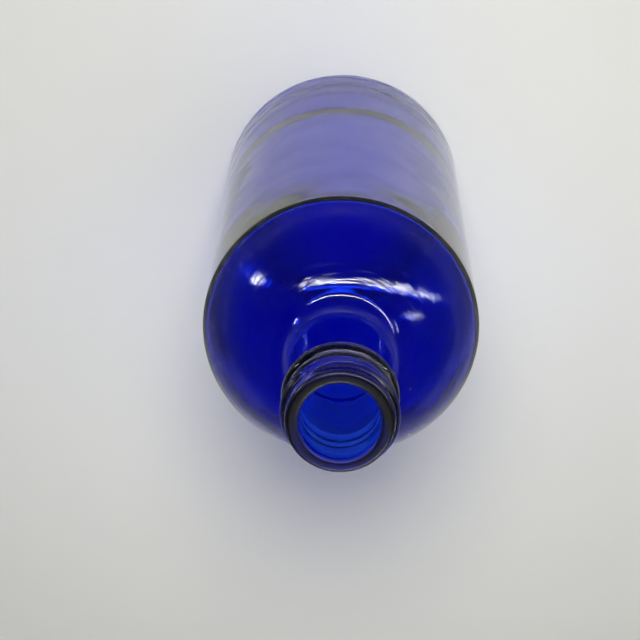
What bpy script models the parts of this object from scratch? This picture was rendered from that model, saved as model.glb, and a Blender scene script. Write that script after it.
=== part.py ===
"""Round cobalt-blue medicine bottle with a screw-thread mouth, one moulded piece of glass.

Metres, +Z up. The bottle stands on its base, with the origin at the middle of the circle it stands on.
"""

import math

import bmesh
import bpy

MM = 0.001

# Body
BODY_RADIUS = 34.0 * MM
BODY_HEIGHT = 123.0 * MM  # from the table to the plane where wall and shoulder would meet in a sharp edge
WALL_THICKNESS = 2.8 * MM
HEEL_RADIUS = 5.0 * MM
INNER_HEEL_RADIUS = 9.0 * MM

# Base
BEARING_RING_WIDTH = 3.0 * MM  # the flat ring that touches the table
PUSH_UP = 3.0 * MM  # how far the middle of the base is domed upwards
BASE_THICKNESS = 4.5 * MM  # glass at the middle of the base
FLOOR_CROWN = 1.5 * MM  # how far the floor inside rises from its edge to its middle

# Shoulder
SHOULDER_SLOPE = math.radians(65)  # how far the dome has turned down from level where it meets the wall
SHOULDER_THICKNESS = 3.0 * MM
SHOULDER_CORNER_RADIUS = 1.2 * MM
INNER_CORNER_RADIUS = 4.0 * MM
NECK_ROOT_RADIUS = 6.0 * MM
INNER_ROOT_RADIUS = 18.0 * MM

# Neck and mouth, to the 28 mm one-turn screw finish
NECK_RADIUS = 12.35 * MM
NECK_LENGTH = 20.2 * MM  # from the top of the shoulder's curve to the middle of the bead
BORE_RADIUS = 9.1 * MM
LIP_RADIUS = 1.3 * MM  # the rounded outer edge of the lip
BORE_EDGE_RADIUS = 1.0 * MM
BEAD_RISE = 1.15 * MM  # how far the bead stands out from the neck
BEAD_ROUNDING = 2.15 * MM  # radius of the bead's round section
BEAD_FILLET = 0.6 * MM
BEAD_DEPTH = 14.4 * MM  # from the lip down to the middle of the bead
GROOVE_SINK = 0.15 * MM  # how far the groove above the bead cuts into the neck
COLLAR_RISE = 0.45 * MM
COLLAR_HEIGHT = 2.6 * MM
COLLAR_DEPTH = 9.2 * MM  # from the lip down to the collar's upper edge
THREAD_RISE = 1.15 * MM
THREAD_WIDTH = 2.8 * MM
THREAD_PITCH = 25.4 * MM / 6
THREAD_DEPTH = 2.4 * MM  # from the lip down to the middle of the thread where it starts
THREAD_START = math.radians(-55)
THREAD_TURNS = 1.0
THREAD_FADE = math.radians(28)  # the stretch over which each end sinks into the neck
THREAD_SINK = 0.2 * MM  # how far under the neck's surface an end finishes

# Facets
AROUND = 60
THREAD_SIDES = 12
SHARP_EDGE = math.radians(40)

# The overall height, 181 mm, follows from the sizes above
BEAD_RADIUS = NECK_RADIUS + BEAD_RISE
COLLAR_RADIUS = NECK_RADIUS + COLLAR_RISE
THREAD_RADIUS = NECK_RADIUS + THREAD_RISE
DOME_RADIUS = BODY_RADIUS / math.sin(SHOULDER_SLOPE)
DOME_CENTRE = BODY_HEIGHT - DOME_RADIUS * math.cos(SHOULDER_SLOPE)
INNER_DOME_RADIUS = DOME_RADIUS - SHOULDER_THICKNESS
INNER_RADIUS = BODY_RADIUS - WALL_THICKNESS


def root_centre_height(neck, dome, root):
    """Height of the centre of the curve that joins a neck of this radius to a dome of this radius."""
    return DOME_CENTRE + math.sqrt((dome + root) ** 2 - (neck + root) ** 2)


NECK_BOTTOM = root_centre_height(NECK_RADIUS, DOME_RADIUS, NECK_ROOT_RADIUS)
BEAD_MIDDLE = NECK_BOTTOM + NECK_LENGTH
LIP_HEIGHT = BEAD_MIDDLE + BEAD_DEPTH


def arc(centre, radius, start, end, steps):
    """Points (radius from the axis, height) along an arc, both ends included. Angles in radians from outwards."""
    angles = [start + (end - start) * i / steps for i in range(steps + 1)]
    return [(centre[0] + radius * math.cos(a), centre[1] + radius * math.sin(a)) for a in angles]


def crown(edge_radius, edge_height, rise, steps):
    """The shallow dome from the axis out to its edge."""
    radius = (edge_radius**2 + rise**2) / (2 * rise)
    centre = (0.0, edge_height + rise - radius)
    edge_angle = math.atan2(radius - rise, edge_radius)
    return [(0.0, edge_height + rise)] + arc(centre, radius, math.pi / 2, edge_angle, steps)[1:]


def shoulder(neck, dome, wall, root, corner, steps):
    """One surface of the shoulder, from the bottom of the neck down to the top of the wall."""
    root_steps, dome_steps, corner_steps = steps
    root_centre = (neck + root, root_centre_height(neck, dome, root))
    corner_rise = math.sqrt((dome - corner) ** 2 - (wall - corner) ** 2)
    corner_centre = (wall - corner, DOME_CENTRE + corner_rise)
    upper = math.atan2(root_centre[1] - DOME_CENTRE, root_centre[0])
    lower = math.atan2(corner_rise, corner_centre[0])
    points = arc(root_centre, root, math.pi, math.pi + upper, root_steps)
    points += arc((0.0, DOME_CENTRE), dome, upper, lower, dome_steps)[1:]
    points += arc(corner_centre, corner, lower, 0.0, corner_steps)[1:]
    return points


def collar():
    """The shallow rounded ring between thread and bead."""
    half = COLLAR_HEIGHT / 2
    radius = (half**2 + COLLAR_RISE**2) / (2 * COLLAR_RISE)
    reach = math.asin(half / radius)
    return arc((COLLAR_RADIUS - radius, LIP_HEIGHT - COLLAR_DEPTH - half), radius, reach, -reach, 4)


def bead():
    """The round ring under the collar, with a small fillet down to the neck."""
    centre = BEAD_RADIUS - BEAD_ROUNDING
    upper = math.acos((NECK_RADIUS - GROOVE_SINK - centre) / BEAD_ROUNDING)
    fillet = NECK_RADIUS + BEAD_FILLET
    drop = math.sqrt((BEAD_ROUNDING + BEAD_FILLET) ** 2 - (fillet - centre) ** 2)
    lower = math.atan2(drop, fillet - centre)
    points = arc((centre, BEAD_MIDDLE), BEAD_ROUNDING, upper, -lower, 8)
    points += arc((fillet, BEAD_MIDDLE - drop), BEAD_FILLET, math.pi - lower, math.pi, 2)[1:]
    return points


def outer_outline():
    """The outside of the glass, from the lip's flat top down to the middle of the base."""
    quarter = math.pi / 2
    points = arc((NECK_RADIUS - LIP_RADIUS, LIP_HEIGHT - LIP_RADIUS), LIP_RADIUS, quarter, 0.0, 3)
    points += collar() + bead()
    points += shoulder(NECK_RADIUS, DOME_RADIUS, BODY_RADIUS, NECK_ROOT_RADIUS, SHOULDER_CORNER_RADIUS, (6, 8, 3))
    points += arc((BODY_RADIUS - HEEL_RADIUS, HEEL_RADIUS), HEEL_RADIUS, 0.0, -quarter, 5)
    points += reversed(crown(BODY_RADIUS - HEEL_RADIUS - BEARING_RING_WIDTH, 0.0, PUSH_UP, 4))
    return points


def inner_outline():
    """The inside of the glass, from the middle of the floor up to the lip's flat top."""
    quarter = math.pi / 2
    floor_edge = PUSH_UP + BASE_THICKNESS - FLOOR_CROWN
    heel_centre = (INNER_RADIUS - INNER_HEEL_RADIUS, floor_edge + INNER_HEEL_RADIUS)
    points = crown(heel_centre[0], floor_edge, FLOOR_CROWN, 3)
    points += arc(heel_centre, INNER_HEEL_RADIUS, -quarter, 0.0, 5)[1:]
    points += reversed(
        shoulder(BORE_RADIUS, INNER_DOME_RADIUS, INNER_RADIUS, INNER_ROOT_RADIUS, INNER_CORNER_RADIUS, (5, 6, 3))
    )
    edge_centre = (BORE_RADIUS + BORE_EDGE_RADIUS, LIP_HEIGHT - BORE_EDGE_RADIUS)
    points += arc(edge_centre, BORE_EDGE_RADIUS, math.pi, quarter, 2)
    return points


def new_object(name, mesh):
    thing = bpy.data.objects.new(name, mesh)
    bpy.context.scene.collection.objects.link(thing)
    return thing


def turned_glass(name):
    """The section of the glass spun round the axis."""
    section = inner_outline() + outer_outline()
    mesh = bpy.data.meshes.new(name)
    mesh.from_pydata([(r, 0.0, z) for r, z in section], [(i, i + 1) for i in range(len(section) - 1)], [])
    glass = new_object(name, mesh)
    spin = glass.modifiers.new("Spin", "SCREW")
    spin.steps = AROUND
    spin.render_steps = AROUND
    spin.use_merge_vertices = True
    spin.merge_threshold = 0.00001
    return glass


def thread_ridge(name):
    """A round bar wound down the neck as a right-handed screw. Only its outer half stands out of the glass."""
    half = THREAD_WIDTH / 2
    bar_radius = (half**2 + THREAD_RISE**2) / (2 * THREAD_RISE)
    path_radius = THREAD_RADIUS - bar_radius
    steps = round(AROUND * THREAD_TURNS)
    step = 2 * math.pi / AROUND
    first = round(THREAD_START / step)
    mesh = bmesh.new()
    rings = []
    for i in range(steps + 1):
        angle = (first - i) * step
        from_end = min(i, steps - i) * step
        sunk = max(0.0, 1.0 - from_end / THREAD_FADE)
        radius = path_radius - (THREAD_RISE + THREAD_SINK) * sunk**2
        height = LIP_HEIGHT - THREAD_DEPTH - THREAD_PITCH * i / AROUND
        ring = []
        for side in range(THREAD_SIDES):
            turn = 2 * math.pi * side / THREAD_SIDES
            reach = radius + bar_radius * math.cos(turn)
            ring.append(
                mesh.verts.new(
                    (reach * math.cos(angle), reach * math.sin(angle), height + bar_radius * math.sin(turn))
                )
            )
        rings.append(ring)
    for ring, following in zip(rings, rings[1:]):
        for side in range(THREAD_SIDES):
            other = (side + 1) % THREAD_SIDES
            mesh.faces.new((ring[side], ring[other], following[other], following[side]))
    mesh.faces.new(rings[0])
    mesh.faces.new(rings[-1])
    bmesh.ops.recalc_face_normals(mesh, faces=mesh.faces)
    data = bpy.data.meshes.new(name)
    mesh.to_mesh(data)
    mesh.free()
    ridge = new_object(name, data)
    ridge.hide_render = True
    ridge.display_type = "WIRE"
    return ridge


def cobalt_glass():
    material = bpy.data.materials.new("cobalt_glass")
    material.use_nodes = True
    shader = material.node_tree.nodes["Principled BSDF"]
    shader.inputs["Base Color"].default_value = (0.015, 0.03, 0.45, 1.0)
    shader.inputs["Roughness"].default_value = 0.03
    shader.inputs["Metallic"].default_value = 0.0
    shader.inputs["IOR"].default_value = 1.52
    shader.inputs["Transmission Weight"].default_value = 1.0
    return material


def build():
    for thing in list(bpy.data.objects):
        bpy.data.objects.remove(thing, do_unlink=True)
    glass = turned_glass("glass_bottle")
    glass.data.materials.append(cobalt_glass())
    ridge = thread_ridge("thread_ridge")
    join = glass.modifiers.new("Thread", "BOOLEAN")
    join.operation = "UNION"
    join.solver = "EXACT"
    join.object = ridge
    bottle = bpy.data.meshes.new_from_object(glass.evaluated_get(bpy.context.evaluated_depsgraph_get()))
    glass.modifiers.clear()
    glass.data = bottle
    bpy.data.objects.remove(ridge, do_unlink=True)
    bottle.shade_smooth()
    bottle.set_sharp_from_angle(angle=SHARP_EDGE)


build()
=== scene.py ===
"""Looks of a round cobalt-blue medicine bottle: one piece of glass, on a plain pale floor.

Metres, +Z up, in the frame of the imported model. The bottle's outline is drawn as a section,
turned and given its screw thread by Geometry Nodes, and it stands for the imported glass_bottle.
"""

import math

import bpy
from mathutils import Matrix, Vector

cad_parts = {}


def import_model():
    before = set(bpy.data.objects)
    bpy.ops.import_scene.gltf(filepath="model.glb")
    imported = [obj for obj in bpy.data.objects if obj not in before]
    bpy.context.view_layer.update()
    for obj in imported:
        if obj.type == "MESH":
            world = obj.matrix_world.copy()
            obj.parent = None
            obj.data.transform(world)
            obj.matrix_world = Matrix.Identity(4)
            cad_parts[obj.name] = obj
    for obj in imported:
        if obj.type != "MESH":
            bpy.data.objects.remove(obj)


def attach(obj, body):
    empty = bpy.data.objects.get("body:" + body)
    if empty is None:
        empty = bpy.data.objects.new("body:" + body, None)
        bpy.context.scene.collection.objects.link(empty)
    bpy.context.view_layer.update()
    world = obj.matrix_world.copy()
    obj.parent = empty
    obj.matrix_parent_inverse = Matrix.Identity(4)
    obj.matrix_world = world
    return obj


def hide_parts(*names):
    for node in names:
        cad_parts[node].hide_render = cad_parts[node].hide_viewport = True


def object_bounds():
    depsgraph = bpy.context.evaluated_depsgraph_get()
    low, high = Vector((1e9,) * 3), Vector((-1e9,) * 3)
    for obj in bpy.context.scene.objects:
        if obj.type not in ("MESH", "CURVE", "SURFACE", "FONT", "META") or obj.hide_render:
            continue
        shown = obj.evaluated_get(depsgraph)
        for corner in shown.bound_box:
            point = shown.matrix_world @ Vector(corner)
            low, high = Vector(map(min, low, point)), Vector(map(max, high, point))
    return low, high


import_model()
cad_low, cad_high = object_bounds()

MM = 0.001
QUARTER = math.pi / 2
TURN = 2 * math.pi

# The camera of the photograph
CAMERA_PLACE = (-1.75 * MM, -184.6 * MM, 605.0 * MM)
CAMERA_TURN = (math.radians(-20.728), math.radians(0.715), math.radians(179.729))
CAMERA_LENS = 118.1
SENSOR = 36.0

# Overall sizes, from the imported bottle
BODY_RADIUS = (cad_high.x - cad_low.x) / 2
HEIGHT = cad_high.z

# Body and base
BODY_HEIGHT = 123.0 * MM
WALL_THICKNESS = 2.8 * MM
HEEL_RADIUS = 5.0 * MM
INNER_HEEL_RADIUS = 9.0 * MM
BEARING_RING_WIDTH = 3.0 * MM
HOLLOW_RADIUS = BODY_RADIUS - HEEL_RADIUS - BEARING_RING_WIDTH
PUSH_UP = 3.0 * MM
BASE_THICKNESS = 4.5 * MM
FLOOR_CROWN = 1.5 * MM

# Shoulder
SHOULDER_SLOPE = math.radians(65)
SHOULDER_THICKNESS = 3.0 * MM
SHOULDER_CORNER_RADIUS = 1.2 * MM
INNER_CORNER_RADIUS = 4.0 * MM
NECK_ROOT_RADIUS = 6.0 * MM
INNER_ROOT_RADIUS = 10.5 * MM
DOME_RADIUS = BODY_RADIUS / math.sin(SHOULDER_SLOPE)
DOME_CENTRE = BODY_HEIGHT - DOME_RADIUS * math.cos(SHOULDER_SLOPE)

# Neck and mouth
NECK_RADIUS = 12.35 * MM
BORE_RADIUS = 9.1 * MM
LIP_RADIUS = 1.3 * MM
BORE_EDGE_RADIUS = 1.0 * MM
BEAD_RADIUS = 13.5 * MM
BEAD_ROUNDING = 2.15 * MM
BEAD_FILLET = 0.6 * MM
BEAD_DEPTH = 14.4 * MM
GROOVE_RADIUS = 12.2 * MM
COLLAR_RADIUS = 12.8 * MM
COLLAR_HEIGHT = 2.6 * MM
COLLAR_DEPTH = 9.2 * MM
THREAD_RADIUS = 13.5 * MM
THREAD_WIDTH = 2.8 * MM
THREAD_PITCH = 25.4 * MM / 6
THREAD_DEPTH = 2.4 * MM
THREAD_START = math.radians(-55)
THREAD_TURNS = 1.0
THREAD_FADE = math.radians(28)
THREAD_SINK = 1.3  # how deep the ends of the thread sink, in heights of the thread
THREAD_FILLET = 0.5 * MM

# How uneven the blown inside of the glass is
SEED = 3.0
UNEVENNESS = 1.6 * MM
UNEVENNESS_SCALE = 40.0
RIPPLE = 0.12 * MM
RIPPLE_SCALE = 85.0
THIN_SHOULDER = 0.24 * MM
THIN_ROOT = 0.075 * MM
THICK_BACK = 1.0 * MM

# The low wave on the wall that the glass left as it settled
WAVE_HEIGHT = 37.0 * MM
WAVE_RISE = 9.0 * MM
WAVE_DEPTH = 0.26 * MM
WAVE_FOOT = 12.0 * MM
WAVE_LEAN = 12.0 * MM
WAVE_LEAN_SCALE = 14.0
WAVE_SIDES = (-34.0 * MM, 20.0 * MM)  # along Y: it is full in front and gone behind

# Stretches over which the inside changes, in heights above the top of the wall
WALL_CALM = (-18.0 * MM, 4.0 * MM)
WALL_UNEVEN = 0.12
ROOT_CALM = (7.0 * MM, 13.5 * MM)
ROOT_UNEVEN = 0.05
SHOULDER_THINS = (-26.0 * MM, 4.0 * MM)
ROOT_THINS = (12.8 * MM, 16.5 * MM)
BLOWN_ENDS = (20.0 * MM, 40.0 * MM)
BACK_THICKENS = (0.0, 30.0 * MM)  # along Y

# Fineness of the mesh
AROUND = 180
ARC_STEP = math.radians(4)
DOME_STEP = ARC_STEP / 3
CORNER_STEP = ARC_STEP / 2
HEEL_STEP = ARC_STEP * 1.5
LIP_STEP = ARC_STEP * 2
FILLET_STEP = ARC_STEP * 3
BORE_EDGE_STEP = ARC_STEP * 4
CROWN_STEPS = 12
WALL_STEP = 2.0 * MM
OUTER_WALL_STEP = WALL_STEP * 3
NECK_STEP = 0.8 * MM
INNER_NECK_STEP = NECK_STEP * 2
THREAD_STEP = 0.125 * MM
ROUND_OFF = 1e-6
MERGE_DISTANCE = 1e-6

# Scratches: Slant is 0 for level ones, Fineness is in lines per metre, Length is in widths of a
# line, Share is how much of the glass has them, and Patches is how small their patches are
LEVEL_SCRATCHES = {"Slant": 0.04, "Fineness": 1250.0, "Length": 11.0, "Seed": 2.0, "Share": 0.9}
STEEP_SCRATCHES = {"Slant": -0.7, "Fineness": 1100.0, "Length": 24.0, "Seed": 5.0, "Share": 0.35}
SCUFFS = {"Slant": -0.8, "Fineness": 2200.0, "Length": 9.0, "Seed": 8.0, "Share": 0.8, "Patches": 220.0}
PATCHES = 90.0
SCRATCH_DEPTH = 0.036 * MM

# Levels of the noise at which a scratch starts, and a patch of them. More of the glass has
# scratches as the level for patches drops
SCRATCH_LEVELS = (0.56, 0.7)
PATCH_LEVEL = 0.72
PATCH_DROP = 0.5
PATCH_EDGE = 0.12
WEAR_DETAIL = 2.0

# Specks
SPECKS_APART = 6.0 * MM
SPECK_SIZE = 0.09
SPECK_SHARE = 0.3

# Worn places. Depths are below the lip, other heights are above the table
WORN_SEED = 1.0
LIP_WEAR_DEPTH = (0.3 * MM, 1.4 * MM)
BORE_EDGE_WIDTH = (0.3 * MM, 1.1 * MM)
BORE_EDGE_DEPTH = (0.6 * MM, 2.0 * MM)
CHIP_SCALE = 160.0
CHIP_LEVELS = (0.36, 0.56)
CHIP_LEAST = 0.3
FINISH_DEPTH = BEAD_DEPTH + 4.0 * MM
THREAD_WEAR_DEPTH = (7.0 * MM, 8.0 * MM)
THREAD_CREST = (0.08, 0.5)  # in heights of the thread
BEAD_CREST = (0.5, 0.9)
INNER_FLOOR_WEAR = (10.0 * MM, 35.0 * MM)
HEEL_WEAR = (3.0 * MM, 14.0 * MM)
HEEL_WORN = 0.5
BASE_WEAR_TOP = 60.0 * MM

# Stretches of the shoulder, in heights above the top of the wall
HAZE_STARTS = (-4.0 * MM, 2.0 * MM)
HAZE_ENDS = (9.0 * MM, 12.5 * MM)
DOME_STARTS = (-1.0 * MM, 5.0 * MM)
DOME_ENDS = (16.9 * MM, 17.5 * MM)
BEYOND_DOME = 0.05

# How rough the wear makes the glass
LEVEL_ROUGHNESS = 0.24
STEEP_ROUGHNESS = 0.08
SPECK_ROUGHNESS = 0.5
SCUFF_ROUGHNESS = 0.4
WORN_ROUGHNESS = {"Lip": 0.3, "Bore edge": 0.2, "Crests": 0.3, "Base": 0.45, "Shoulder": 0.18}

# Cobalt-blue glass
GLASS_IOR = 1.5
GLASS_TINT = (0.02, 0.38, 0.937, 1.0)
TINT_DENSITY = 1000.0
SHADOW_TINT = (0.92, 0.92, 0.92, 1.0)

# The studio
SHOULDER_MIDDLE = Vector((0, 0, 0.13))
FLOOR_REACH = 4.0
FLOOR_DROP = 0.3 * MM
FLOOR_COLOUR = (0.755, 0.757, 0.705, 1.0)
FLOOR_ROUGHNESS = 0.7
FLOOR_SPECULAR = 0.2
WORLD_RISE = (-0.02, 0.1)
WORLD_STRENGTHS = (0.14, 0.05)
BACKGROUND_LAMPS = 8
BACKGROUND_DISTANCE = 1.25
BACKGROUND_HEIGHT = 1.0
BACKGROUND_POWER = 0.7
FRONT_POWER = 1.2
FRONT_LAMPS = (3, 4, 5)

RISING = (0.0, 1.0)
FALLING = (1.0, 0.0)
FLOAT = "NodeSocketFloat"


# The section of the glass


def arc(centre, radius, start, end, step=ARC_STEP):
    """Points (radius from the axis, height) along an arc, both ends included."""
    steps = max(2, math.ceil(abs(end - start) / step))
    angles = [start + (end - start) * i / steps for i in range(steps + 1)]
    return [(centre[0] + radius * math.cos(a), centre[1] + radius * math.sin(a)) for a in angles]


def crown(edge_radius, edge_height, rise):
    """The shallow dome from the axis out to its edge."""
    radius = (edge_radius**2 + rise**2) / (2 * rise)
    centre = (0.0, edge_height + rise - radius)
    edge_angle = math.atan2(radius - rise, edge_radius)
    points = arc(centre, radius, QUARTER, edge_angle, (QUARTER - edge_angle) / CROWN_STEPS)
    return [(0.0, edge_height + rise)] + points[1:]


def shoulder(neck, dome, wall, root, corner):
    """One surface of the shoulder, from the bottom of the neck down to the top of the wall."""
    root_height = DOME_CENTRE + math.sqrt((dome + root) ** 2 - (neck + root) ** 2)
    corner_rise = math.sqrt((dome - corner) ** 2 - (wall - corner) ** 2)
    upper = math.atan2(root_height - DOME_CENTRE, neck + root)
    lower = math.atan2(corner_rise, wall - corner)
    points = arc((neck + root, root_height), root, math.pi, math.pi + upper)
    points += arc((0.0, DOME_CENTRE), dome, upper, lower, DOME_STEP)[1:]
    points += arc((wall - corner, DOME_CENTRE + corner_rise), corner, lower, 0.0, CORNER_STEP)[1:]
    return points


def collar():
    """The shallow rounded ring between thread and bead."""
    half = COLLAR_HEIGHT / 2
    proud = COLLAR_RADIUS - NECK_RADIUS
    radius = (half**2 + proud**2) / (2 * proud)
    reach = math.asin(half / radius)
    return arc((COLLAR_RADIUS - radius, HEIGHT - COLLAR_DEPTH - half), radius, reach, -reach)


def bead():
    """The round ring under the collar, with a small fillet down to the neck."""
    centre = BEAD_RADIUS - BEAD_ROUNDING
    middle = HEIGHT - BEAD_DEPTH
    upper = math.acos((GROOVE_RADIUS - centre) / BEAD_ROUNDING)
    fillet = NECK_RADIUS + BEAD_FILLET
    drop = math.sqrt((BEAD_ROUNDING + BEAD_FILLET) ** 2 - (fillet - centre) ** 2)
    lower = math.atan2(drop, fillet - centre)
    points = arc((centre, middle), BEAD_ROUNDING, upper, -lower)
    points += arc((fillet, middle - drop), BEAD_FILLET, math.pi - lower, math.pi, FILLET_STEP)[1:]
    return points


def filled(points, step_at):
    """The same outline, with points added on its long straight stretches."""
    dense = [points[0]]
    for start, end in zip(points, points[1:]):
        run, rise = end[0] - start[0], end[1] - start[1]
        step = step_at((start[1] + end[1]) / 2)
        steps = max(1, math.ceil(math.dist(start, end) / step - ROUND_OFF))
        for i in range(1, steps + 1):
            dense.append((start[0] + run * i / steps, start[1] + rise * i / steps))
    return dense


def outside():
    """The outer surface, from the lip's flat land down to the middle of the base."""
    points = arc((NECK_RADIUS - LIP_RADIUS, HEIGHT - LIP_RADIUS), LIP_RADIUS, QUARTER, 0.0, LIP_STEP)
    points += collar() + bead()
    points += shoulder(NECK_RADIUS, DOME_RADIUS, BODY_RADIUS, NECK_ROOT_RADIUS, SHOULDER_CORNER_RADIUS)
    points += arc((BODY_RADIUS - HEEL_RADIUS, HEEL_RADIUS), HEEL_RADIUS, 0.0, -QUARTER, HEEL_STEP)
    points += reversed(crown(HOLLOW_RADIUS, 0.0, PUSH_UP))

    def step_at(height):
        if height > HEIGHT - COLLAR_DEPTH:
            return THREAD_STEP
        return NECK_STEP if height > BODY_HEIGHT else OUTER_WALL_STEP

    return filled(points, step_at)


def inside():
    """The inner surface, from the middle of the floor up to the lip's flat land."""
    wall = BODY_RADIUS - WALL_THICKNESS
    dome = DOME_RADIUS - SHOULDER_THICKNESS
    floor_edge = PUSH_UP + BASE_THICKNESS - FLOOR_CROWN
    heel = (wall - INNER_HEEL_RADIUS, floor_edge + INNER_HEEL_RADIUS)
    points = crown(heel[0], floor_edge, FLOOR_CROWN)
    points += arc(heel, INNER_HEEL_RADIUS, -QUARTER, 0.0)[1:]
    points += reversed(shoulder(BORE_RADIUS, dome, wall, INNER_ROOT_RADIUS, INNER_CORNER_RADIUS))
    edge = (BORE_RADIUS + BORE_EDGE_RADIUS, HEIGHT - BORE_EDGE_RADIUS)
    points += arc(edge, BORE_EDGE_RADIUS, math.pi, QUARTER, BORE_EDGE_STEP)
    return filled(points, lambda height: INNER_NECK_STEP if height > BODY_HEIGHT else WALL_STEP)


def section_object():
    """The section as a line in the XZ plane, with a mark on the points of the outer surface."""
    inner, outer = inside(), outside()
    points = inner + outer
    mesh = bpy.data.meshes.new("glass_section")
    mesh.from_pydata([(r, 0.0, z) for r, z in points], [(i, i + 1) for i in range(len(points) - 1)], [])
    mark = mesh.attributes.new("outer", "FLOAT", "POINT")
    mark.data.foreach_set("value", [0.0] * len(inner) + [1.0] * len(outer))
    thing = bpy.data.objects.new("bottle_glass", mesh)
    bpy.context.scene.collection.objects.link(thing)
    return thing


# Node trees


def add(tree, kind, inputs=None, **settings):
    """Adds a node. A value in inputs is a socket to link from, or a plain value to set."""
    node = tree.nodes.new(kind)
    for name, value in settings.items():
        setattr(node, name, value)
    for key, value in (inputs or {}).items():
        socket = node.inputs[key]
        if isinstance(value, bpy.types.NodeSocket):
            tree.links.new(value, socket)
        else:
            socket.default_value = value
    return node


def maths(tree, operation, *values):
    return add(tree, "ShaderNodeMath", dict(enumerate(values)), operation=operation).outputs[0]


def product(tree, first, *others):
    for value in others:
        first = maths(tree, "MULTIPLY", first, value)
    return first


def total(tree, first, *others):
    for value in others:
        first = maths(tree, "ADD", first, value)
    return first


def one_minus(tree, value):
    return maths(tree, "SUBTRACT", 1.0, value)


def parts_of(tree, vector):
    return add(tree, "ShaderNodeSeparateXYZ", {0: vector}).outputs


def from_axis(tree, place):
    """The distance from the bottle's axis of a place that is given by its parts."""
    level = add(tree, "ShaderNodeCombineXYZ", {0: place["X"], 1: place["Y"]}).outputs[0]
    return add(tree, "ShaderNodeVectorMath", {0: level}, operation="LENGTH").outputs["Value"]


def band(tree, value, stretch, levels=RISING, shape="SMOOTHSTEP"):
    """A step from the first level to the second, over a stretch of the value."""
    given = {"Value": value, "From Min": stretch[0], "From Max": stretch[1]}
    given.update({"To Min": levels[0], "To Max": levels[1]})
    return add(tree, "ShaderNodeMapRange", given, interpolation_type=shape).outputs[0]


def noise(tree, place, seed, scale, detail=1.0):
    given = {"Vector": place, "W": seed, "Scale": scale, "Detail": detail}
    return add(tree, "ShaderNodeTexNoise", given, noise_dimensions="4D").outputs[0]


def swing(tree, place, seed, scale, detail=1.0):
    """Noise that goes as far below zero as above it."""
    return maths(tree, "SUBTRACT", noise(tree, place, seed, scale, detail), 0.5)


def new_tree(name, kind, sockets, numbers, outputs):
    """A node group. Sockets and outputs are types by name, numbers are values by name."""
    tree = bpy.data.node_groups.new(name, kind)
    for label, socket in sockets.items():
        tree.interface.new_socket(name=label, in_out="INPUT", socket_type=socket)
    for label, value in numbers.items():
        socket = "NodeSocketInt" if isinstance(value, int) else FLOAT
        made = tree.interface.new_socket(name=label, in_out="INPUT", socket_type=socket)
        made.default_value = value
    for label, socket in outputs.items():
        tree.interface.new_socket(name=label, in_out="OUTPUT", socket_type=socket)
    return tree, tree.nodes.new("NodeGroupInput").outputs, tree.nodes.new("NodeGroupOutput")


def raised_thread(tree, take, drawn, angle, outer):
    """The radius of a point of the section, with the thread raised on the outer surface."""
    # How far round the thread the point lies, in radians from where it starts, on the nearest turn
    behind = maths(tree, "SUBTRACT", take["Thread start"], angle)
    first = maths(tree, "WRAP", behind, TURN, 0.0)
    below = maths(tree, "SUBTRACT", take["Thread top"], drawn["Z"])
    drop = maths(tree, "DIVIDE", take["Thread pitch"], TURN)
    left = maths(tree, "SUBTRACT", below, product(tree, first, drop))
    turns_down = maths(tree, "ROUND", maths(tree, "DIVIDE", left, take["Thread pitch"]))
    along = total(tree, first, product(tree, maths(tree, "MAXIMUM", turns_down, 0.0), TURN))
    off = maths(tree, "SUBTRACT", below, product(tree, along, drop))

    # The ridge is rounded, and sinks into the neck at both ends
    half = maths(tree, "DIVIDE", take["Thread width"], 2)
    proud = maths(tree, "SUBTRACT", take["Thread radius"], take["Neck radius"])
    bow = maths(tree, "DIVIDE", proud, maths(tree, "POWER", half, 2))
    whole = product(tree, take["Thread turns"], TURN)
    to_end = maths(tree, "MINIMUM", along, maths(tree, "SUBTRACT", whole, along))
    sunk = maths(tree, "MAXIMUM", one_minus(tree, maths(tree, "DIVIDE", to_end, take["Thread fade"])), 0.0)
    sink = product(tree, maths(tree, "POWER", sunk, 2), product(tree, proud, THREAD_SINK))
    ridge = maths(tree, "SUBTRACT", take["Thread radius"], product(tree, off, off, bow))
    ridge = maths(tree, "SUBTRACT", ridge, sink)
    raised = maths(tree, "SMOOTH_MAX", drawn["X"], ridge, take["Thread fillet"])
    under = maths(tree, "SUBTRACT", take["Lip height"], drawn["Z"])
    in_reach = product(tree, outer, maths(tree, "LESS_THAN", under, take["Collar depth"]))
    return add(tree, "ShaderNodeMix", {0: in_reach, 2: drawn["X"], 3: raised}, data_type="FLOAT").outputs[0]


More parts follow.
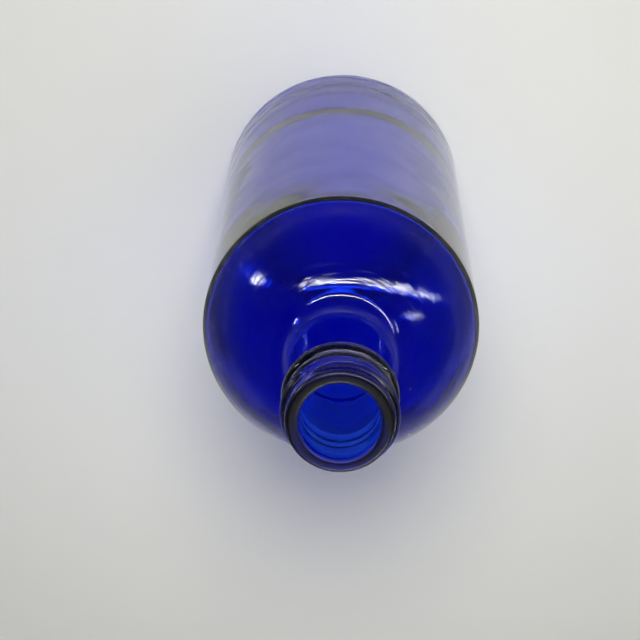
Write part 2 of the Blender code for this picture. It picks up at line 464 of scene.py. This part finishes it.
def blown_inside(tree, take, glass):
    """Moves the inner surface. The mould only touches the outside, so the inside is uneven."""
    spot = add(tree, "GeometryNodeInputPosition").outputs[0]
    place = parts_of(tree, spot)
    above = maths(tree, "SUBTRACT", place["Z"], take["Body height"])
    wall_calm = band(tree, above, WALL_CALM, (WALL_UNEVEN, 1.0))
    root_calm = band(tree, above, ROOT_CALM, (1.0, ROOT_UNEVEN))
    broad = swing(tree, spot, take["Seed"], UNEVENNESS_SCALE)
    uneven = product(tree, broad, wall_calm, root_calm, take["Unevenness"])
    fine = swing(tree, spot, take["Seed"], RIPPLE_SCALE)
    ripple = product(tree, fine, root_calm, take["Ripple"])
    thick = product(tree, band(tree, place["Y"], BACK_THICKENS), take["Thick back"])
    thin_shoulder = product(tree, band(tree, above, SHOULDER_THINS), take["Thin shoulder"])
    thin_root = product(tree, band(tree, above, ROOT_THINS), take["Thin root"])
    thin = total(tree, thin_shoulder, thin_root)

    lean = product(tree, swing(tree, spot, take["Seed"], WAVE_LEAN_SCALE, detail=0.0), WAVE_LEAN)
    leant = total(tree, place["Z"], lean)
    wave_top = total(tree, take["Wave height"], take["Wave rise"])
    slope = band(tree, leant, (take["Wave height"], wave_top), FALLING)
    foot = band(tree, leant, (WAVE_FOOT, take["Wave height"]))
    front = band(tree, place["Y"], WAVE_SIDES, FALLING, "LINEAR")
    wave = product(tree, slope, foot, front, take["Wave depth"])

    inward = maths(tree, "SUBTRACT", total(tree, uneven, thick, ripple, wave), thin)
    outer = add(tree, "GeometryNodeInputNamedAttribute", {"Name": "outer"}, data_type="FLOAT").outputs[0]
    share = product(tree, band(tree, above, BLOWN_ENDS, FALLING), one_minus(tree, outer))
    normal = add(tree, "GeometryNodeInputNormal").outputs[0]
    given = {0: normal, "Scale": product(tree, inward, share)}
    push = add(tree, "ShaderNodeVectorMath", given, operation="SCALE").outputs[0]
    return add(tree, "GeometryNodeSetPosition", {"Geometry": glass, "Offset": push}).outputs[0]


def turning_tree():
    """Turns a section round Z, raises the thread on its outside and makes its inside uneven."""
    tree, take, result = new_tree(
        "turned_glass",
        "GeometryNodeTree",
        {"Section": "NodeSocketGeometry", "Material": "NodeSocketMaterial"},
        {
            "Around": AROUND,
            "Thread radius": THREAD_RADIUS,
            "Thread width": THREAD_WIDTH,
            "Thread pitch": THREAD_PITCH,
            "Thread top": HEIGHT - THREAD_DEPTH,
            "Thread start": THREAD_START,
            "Thread turns": THREAD_TURNS,
            "Thread fade": THREAD_FADE,
            "Thread fillet": THREAD_FILLET,
            "Neck radius": NECK_RADIUS,
            "Lip height": HEIGHT,
            "Collar depth": COLLAR_DEPTH,
            "Body height": BODY_HEIGHT,
            "Seed": SEED,
            "Unevenness": UNEVENNESS,
            "Ripple": RIPPLE,
            "Thin shoulder": THIN_SHOULDER,
            "Thin root": THIN_ROOT,
            "Thick back": THICK_BACK,
            "Wave height": WAVE_HEIGHT,
            "Wave rise": WAVE_RISE,
            "Wave depth": WAVE_DEPTH,
        },
        {"Glass": "NodeSocketGeometry"},
    )
    section = take["Section"]

    # One column of the grid is one copy of the section
    size = add(tree, "GeometryNodeAttributeDomainSize", {0: section}, component="MESH")
    count = size.outputs["Point Count"]
    given = {"Vertices X": total(tree, take["Around"], 1), "Vertices Y": count}
    grid = add(tree, "GeometryNodeMeshGrid", given).outputs["Mesh"]
    index = add(tree, "GeometryNodeInputIndex").outputs[0]
    column = maths(tree, "FLOOR", maths(tree, "DIVIDE", index, count))
    row = maths(tree, "SUBTRACT", index, product(tree, column, count))

    def of_section(value, kind):
        """The value at the point of the section that the grid's point copies."""
        sample = add(tree, "GeometryNodeSampleIndex", {"Geometry": section, "Index": row}, data_type=kind)
        tree.links.new(value, sample.inputs["Value"])
        return sample.outputs[0]

    place = add(tree, "GeometryNodeInputPosition").outputs[0]
    mark = add(tree, "GeometryNodeInputNamedAttribute", {"Name": "outer"}, data_type="FLOAT").outputs[0]
    drawn = parts_of(tree, of_section(place, "FLOAT_VECTOR"))
    outer = of_section(mark, "FLOAT")
    angle = product(tree, maths(tree, "DIVIDE", column, take["Around"]), TURN)
    radius = raised_thread(tree, take, drawn, angle, outer)
    east = product(tree, radius, maths(tree, "COSINE", angle))
    north = product(tree, radius, maths(tree, "SINE", angle))
    turned = add(tree, "ShaderNodeCombineXYZ", {0: east, 1: north, 2: drawn["Z"]}).outputs[0]

    given = {"Geometry": grid, "Name": "outer", "Value": outer}
    marked = add(tree, "GeometryNodeStoreNamedAttribute", given, data_type="FLOAT").outputs[0]
    placed = add(tree, "GeometryNodeSetPosition", {"Geometry": marked, "Position": turned}).outputs[0]
    given = {"Geometry": placed, "Distance": MERGE_DISTANCE}
    closed = add(tree, "GeometryNodeMergeByDistance", given).outputs[0]
    outward = add(tree, "GeometryNodeFlipFaces", {"Mesh": closed}).outputs[0]
    blown = blown_inside(tree, take, outward)
    smooth = add(tree, "GeometryNodeSetShadeSmooth", {"Geometry": blown}).outputs[0]
    real = add(tree, "GeometryNodeRealizeInstances", {"Geometry": smooth}).outputs[0]
    given = {"Geometry": real, "Material": take["Material"]}
    painted = add(tree, "GeometryNodeSetMaterial", given).outputs[0]
    tree.links.new(painted, result.inputs["Glass"])
    return tree


def set_input(modifier, label, value):
    """Sets a modifier's input by its socket's identifier."""
    for item in modifier.node_group.interface.items_tree:
        if item.item_type == "SOCKET" and item.in_out == "INPUT" and item.name == label:
            modifier[item.identifier] = value
            return
    raise KeyError(label)


def made_mesh(thing):
    """Turns an object's modifiers into its own mesh."""
    graph = bpy.context.evaluated_depsgraph_get()
    mesh = bpy.data.meshes.new_from_object(thing.evaluated_get(graph))
    thing.modifiers.clear()
    thing.data = mesh
    return thing


# Materials


def scratches_tree():
    """Fine scratches that run round the glass at a slant: Mask is 1 on one, Grain is its depth."""
    tree, take, result = new_tree(
        "fine_scratches",
        "ShaderNodeTree",
        {"Place": "NodeSocketVector"},
        {**LEVEL_SCRATCHES, "Patches": PATCHES},
        {"Mask": FLOAT, "Grain": FLOAT},
    )
    place = parts_of(tree, take["Place"])
    radius = from_axis(tree, place)
    behind = product(tree, place["Y"], -1.0)
    around = product(tree, maths(tree, "ARCTAN2", place["X"], behind), radius)
    down = maths(tree, "SUBTRACT", radius, place["Z"])
    across = product(tree, total(tree, down, product(tree, around, take["Slant"])), take["Fineness"])
    along = product(tree, around, maths(tree, "DIVIDE", take["Fineness"], take["Length"]))
    drawn = add(tree, "ShaderNodeCombineXYZ", {0: across, 1: along}).outputs[0]
    grain = noise(tree, drawn, take["Seed"], 1.0)
    start = maths(tree, "SUBTRACT", PATCH_LEVEL, product(tree, take["Share"], PATCH_DROP))
    patches = noise(tree, take["Place"], take["Seed"], take["Patches"], WEAR_DETAIL)
    patch = band(tree, patches, (start, total(tree, start, PATCH_EDGE)))
    line = band(tree, grain, SCRATCH_LEVELS)
    tree.links.new(product(tree, line, patch), result.inputs["Mask"])
    tree.links.new(product(tree, grain, patch), result.inputs["Grain"])
    return tree


def specks_tree():
    """Small round nicks and specks: a mask that is 1 on a speck."""
    tree, take, result = new_tree(
        "specks",
        "ShaderNodeTree",
        {"Place": "NodeSocketVector"},
        {"Apart": SPECKS_APART, "Size": SPECK_SIZE, "Share": SPECK_SHARE},
        {"Mask": FLOAT},
    )
    given = {"Vector": take["Place"], "Scale": maths(tree, "DIVIDE", 1.0, take["Apart"])}
    cells = add(tree, "ShaderNodeTexVoronoi", given).outputs
    spot = band(tree, cells["Distance"], (product(tree, take["Size"], 0.5), take["Size"]), FALLING)
    draw = add(tree, "ShaderNodeSeparateColor", {0: cells["Color"]}).outputs["Red"]
    chosen = maths(tree, "LESS_THAN", draw, take["Share"])
    tree.links.new(product(tree, spot, chosen), result.inputs["Mask"])
    return tree


def worn_tree():
    """Masks of the worn places: the lip, the chipped edge of the bore, the crests of thread and bead,
    base and heel, and the blown inside of the shoulder. Upper is the outside from the shoulder's edge
    to the bead, and Dome is the part of it below the neck root."""
    tree, take, result = new_tree(
        "worn_places",
        "ShaderNodeTree",
        {"Place": "NodeSocketVector"},
        {
            "Outer": 1.0,
            "Bore radius": BORE_RADIUS,
            "Neck radius": NECK_RADIUS,
            "Rise": THREAD_RADIUS - NECK_RADIUS,
            "Lip height": HEIGHT,
            "Finish depth": FINISH_DEPTH,
            "Body height": BODY_HEIGHT,
            "Hollow radius": HOLLOW_RADIUS,
            "Seed": WORN_SEED,
        },
        {label: FLOAT for label in (*WORN_ROUGHNESS, "Upper", "Dome")},
    )
    place = parts_of(tree, take["Place"])
    radius = from_axis(tree, place)
    outer = take["Outer"]
    inner = one_minus(tree, outer)
    under = maths(tree, "SUBTRACT", take["Lip height"], place["Z"])
    above = maths(tree, "SUBTRACT", place["Z"], take["Body height"])

    from_bore = maths(tree, "SUBTRACT", radius, take["Bore radius"])
    by_bore = band(tree, from_bore, BORE_EDGE_WIDTH, FALLING)
    by_lip = band(tree, under, BORE_EDGE_DEPTH, FALLING)
    chips = noise(tree, take["Place"], take["Seed"], CHIP_SCALE, WEAR_DETAIL)
    chipped = band(tree, chips, CHIP_LEVELS, (CHIP_LEAST, 1.0))

    proud = maths(tree, "DIVIDE", maths(tree, "SUBTRACT", radius, take["Neck radius"]), take["Rise"])
    finish = maths(tree, "LESS_THAN", under, take["Finish depth"])
    thread_zone = band(tree, under, THREAD_WEAR_DEPTH, FALLING)
    on_thread = product(tree, band(tree, proud, THREAD_CREST), thread_zone)
    on_bead = product(tree, band(tree, proud, BEAD_CREST), finish)

    inner_floor = product(tree, inner, band(tree, place["Z"], INNER_FLOOR_WEAR, FALLING))
    hollow = product(tree, outer, maths(tree, "LESS_THAN", radius, take["Hollow radius"]))
    heel = product(tree, outer, band(tree, place["Z"], HEEL_WEAR, (HEEL_WORN, 0.0)))
    base = maths(tree, "MAXIMUM", inner_floor, maths(tree, "MAXIMUM", heel, hollow))

    haze = product(tree, band(tree, above, HAZE_STARTS), band(tree, above, HAZE_ENDS, FALLING))
    upper = product(tree, band(tree, above, DOME_STARTS), product(tree, outer, one_minus(tree, finish)))
    masks = {
        "Lip": band(tree, under, LIP_WEAR_DEPTH, FALLING),
        "Bore edge": product(tree, by_bore, by_lip, chipped),
        "Crests": maths(tree, "MAXIMUM", on_thread, on_bead),
        "Base": product(tree, base, maths(tree, "LESS_THAN", place["Z"], BASE_WEAR_TOP)),
        "Shoulder": product(tree, haze, inner),
        "Upper": upper,
        "Dome": product(tree, upper, band(tree, above, DOME_ENDS, (1.0, BEYOND_DOME))),
    }
    for label, value in masks.items():
        tree.links.new(value, result.inputs[label])
    return tree


def cobalt_glass():
    """Clear glass that is blue all through. Its wear shows as roughness, its scratches also as relief."""
    material = bpy.data.materials.new("cobalt_glass")
    material.use_nodes = True
    tree = material.node_tree
    place = add(tree, "ShaderNodeTexCoord").outputs["Object"]
    outer = add(tree, "ShaderNodeAttribute", attribute_name="outer").outputs["Fac"]

    def group(node_tree, inputs):
        return add(tree, "ShaderNodeGroup", {"Place": place, **inputs}, node_tree=node_tree).outputs

    scratches = scratches_tree()
    level = group(scratches, LEVEL_SCRATCHES)
    steep = group(scratches, STEEP_SCRATCHES)
    scuffs = group(scratches, SCUFFS)
    specks = group(specks_tree(), {})
    worn = group(worn_tree(), {"Outer": outer})
    fine = product(tree, level["Mask"], worn["Dome"], LEVEL_ROUGHNESS)
    rough = maths(tree, "MAXIMUM", fine, product(tree, steep["Mask"], STEEP_ROUGHNESS))
    rough = total(tree, rough, product(tree, specks["Mask"], worn["Upper"], SPECK_ROUGHNESS))
    rough = product(tree, rough, outer)
    rough = total(tree, rough, product(tree, worn["Crests"], scuffs["Mask"], SCUFF_ROUGHNESS))
    for label, share in WORN_ROUGHNESS.items():
        rough = total(tree, rough, product(tree, worn[label], share))
    height = product(tree, level["Grain"], worn["Dome"])
    bump = add(tree, "ShaderNodeBump", {"Height": height, "Strength": 1.0, "Distance": SCRATCH_DEPTH})

    shader = tree.nodes["Principled BSDF"]
    shader.inputs["Base Color"].default_value = (1.0, 1.0, 1.0, 1.0)
    shader.inputs["IOR"].default_value = GLASS_IOR
    shader.inputs["Transmission Weight"].default_value = 1.0
    tree.links.new(rough, shader.inputs["Roughness"])
    tree.links.new(bump.outputs[0], shader.inputs["Normal"])
    output = tree.nodes["Material Output"]
    tint = add(tree, "ShaderNodeVolumeAbsorption", {"Color": GLASS_TINT, "Density": TINT_DENSITY})
    tree.links.new(tint.outputs[0], output.inputs["Volume"])

    # Light on its way to a lamp goes straight through, and is tinted by the depth of the glass
    shadow = add(tree, "ShaderNodeLightPath").outputs["Is Shadow Ray"]
    clear = add(tree, "ShaderNodeBsdfTransparent", {"Color": SHADOW_TINT}).outputs[0]
    mixed = add(tree, "ShaderNodeMixShader", {0: shadow, 1: shader.outputs[0], 2: clear})
    tree.links.new(mixed.outputs[0], output.inputs["Surface"])
    return material


def pale_floor():
    material = bpy.data.materials.new("pale_floor")
    material.use_nodes = True
    shader = material.node_tree.nodes["Principled BSDF"]
    shader.inputs["Base Color"].default_value = FLOOR_COLOUR
    shader.inputs["Roughness"].default_value = FLOOR_ROUGHNESS
    shader.inputs["Specular IOR Level"].default_value = FLOOR_SPECULAR
    return material


# The bottle


def bottle():
    glass = section_object()
    turning = glass.modifiers.new("Turning", "NODES")
    turning.node_group = turning_tree()
    set_input(turning, "Material", cobalt_glass())
    return made_mesh(glass)


# The studio


def floor():
    mesh = bpy.data.meshes.new("floor")
    corners = [(x * FLOOR_REACH, y * FLOOR_REACH, 0) for x, y in ((-1, -1), (1, -1), (1, 1), (-1, 1))]
    mesh.from_pydata(corners, [], [(0, 1, 2, 3)])
    mesh.materials.append(pale_floor())
    thing = bpy.data.objects.new("floor", mesh)
    thing.location.z = -FLOOR_DROP
    bpy.context.scene.collection.objects.link(thing)


def soften(data, fades):
    """Fades a lamp towards its sides, over these shares of its length and width."""
    data.use_nodes = True
    tree = data.node_tree
    across = parts_of(tree, add(tree, "ShaderNodeNewGeometry").outputs["Parametric"])
    share = 1.0
    for axis, fade in zip("XY", fades):
        off_middle = maths(tree, "ABSOLUTE", maths(tree, "SUBTRACT", across[axis], 0.5))
        from_side = maths(tree, "SUBTRACT", 0.5, off_middle)
        share = product(tree, share, band(tree, from_side, (0.0, fade)))
    tree.links.new(share, tree.nodes["Emission"].inputs["Strength"])


def softbox(name, place, aim, size, power, along=None, spread=180, soft=None, shown=False):
    """A lamp. Its length lies level, or along the given direction. One that is shown is mirrored in
    the glass and doesn't light the floor. One that isn't shown lights the floor only."""
    data = bpy.data.lights.new(name, "AREA")
    data.shape = "RECTANGLE"
    data.size, data.size_y = size
    data.energy = power
    data.spread = math.radians(spread)
    if soft:
        soften(data, soft)
    lamp = bpy.data.objects.new(name, data)
    away = (Vector(place) - Vector(aim)).normalized()
    level = Vector(along) if along else Vector((0, 0, 1)).cross(away)
    level = (level - away * level.dot(away)).normalized()
    lamp.location = place
    lamp.rotation_euler = Matrix((level, away.cross(level), away)).transposed().to_euler()
    lamp.visible_glossy = shown
    lamp.visible_transmission = shown
    lamp.visible_diffuse = not shown
    lamp.visible_camera = False
    bpy.context.scene.collection.objects.link(lamp)


def toward(*direction, distance=1.0):
    """The place at this distance from the middle of the shoulder, in this direction."""
    return SHOULDER_MIDDLE + Vector(direction).normalized() * distance


def world():
    """A dim grey room, lighter near the floor."""
    made = bpy.data.worlds.new("studio")
    made.use_nodes = True
    tree = made.node_tree
    way = parts_of(tree, add(tree, "ShaderNodeTexCoord").outputs["Generated"])
    strength = band(tree, way["Z"], WORLD_RISE, WORLD_STRENGTHS, "LINEAR")
    background = tree.nodes["Background"]
    background.inputs["Color"].default_value = (1, 1, 1, 1)
    tree.links.new(strength, background.inputs["Strength"])
    bpy.context.scene.world = made


def floor_lamps():
    """The lamps that light the floor and the shadow."""
    softbox("soft_overhead", (-0.25, 0.05, 0.95), aim=(0, 0, 0), size=(0.9, 0.9), power=3.2)
    for i in range(BACKGROUND_LAMPS):
        turn = TURN * i / BACKGROUND_LAMPS
        foot = BACKGROUND_DISTANCE * Vector((math.sin(turn), math.cos(turn), 0.0))
        softbox(
            f"background_{i}",
            foot + Vector((0, 0, BACKGROUND_HEIGHT)),
            aim=foot + Vector((MM, 0, 0)),  # straight down but for a hair, which gives it a level direction
            size=(0.5, 0.5),
            power=FRONT_POWER if i in FRONT_LAMPS else BACKGROUND_POWER,
            spread=66,
        )
    key = toward(-0.02, -0.56, 0.86, distance=0.9)
    softbox("soft_key", key, aim=(0, -0.02, 0), size=(0.34, 0.3), power=0.56, spread=42)


def mirrored(name, place, shift=(0, 0, 0), **settings):
    """A lamp that is mirrored in the glass, turned to the shoulder and then shifted."""
    shift = Vector(shift)
    softbox(name, place + shift, SHOULDER_MIDDLE + shift, shown=True, **settings)


def mirrored_lamps():
    panel = toward(0, 0.7, 0.71, distance=1.1)
    mirrored("soft_panel", panel, size=(1.4, 1.3), power=3.4, soft=(0.3, 0.2))
    edge = toward(-0.2, 0.8, 0.56, distance=1.1)
    mirrored("edge_strip", edge, size=(1.3, 0.16), power=10.0, soft=(0.3, 0.4))
    strip = toward(0, -0.62, 0.785)
    mirrored("strip", strip, shift=(-2.3, 0, 0), size=(6.0, 0.075), power=56.0, soft=(0.05, 0.5))
    window, sill = toward(0.885, -0.39, 0.215), (-0.11, -0.12, 0.21)
    mirrored("side_window", window, along=sill, size=(0.26, 0.08), power=2.2, soft=(0.2, 0.3))
    lamp, tilt = toward(-0.83, -0.09, 0.55), (-0.21, 0.12, -0.29)
    mirrored("side_lamp", lamp, along=tilt, size=(0.44, 0.09), power=1.4, soft=(0.5, 0.5))


def camera():
    data = bpy.data.cameras.new("camera")
    data.lens = CAMERA_LENS
    data.sensor_width = SENSOR
    thing = bpy.data.objects.new("camera", data)
    thing.location = CAMERA_PLACE
    thing.rotation_euler = CAMERA_TURN
    bpy.context.scene.collection.objects.link(thing)
    bpy.context.scene.camera = thing


camera()
bpy.context.scene.view_settings.view_transform = "Standard"
world()
floor()
floor_lamps()
mirrored_lamps()
glass = bottle()
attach(glass, "root")
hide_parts("glass_bottle")
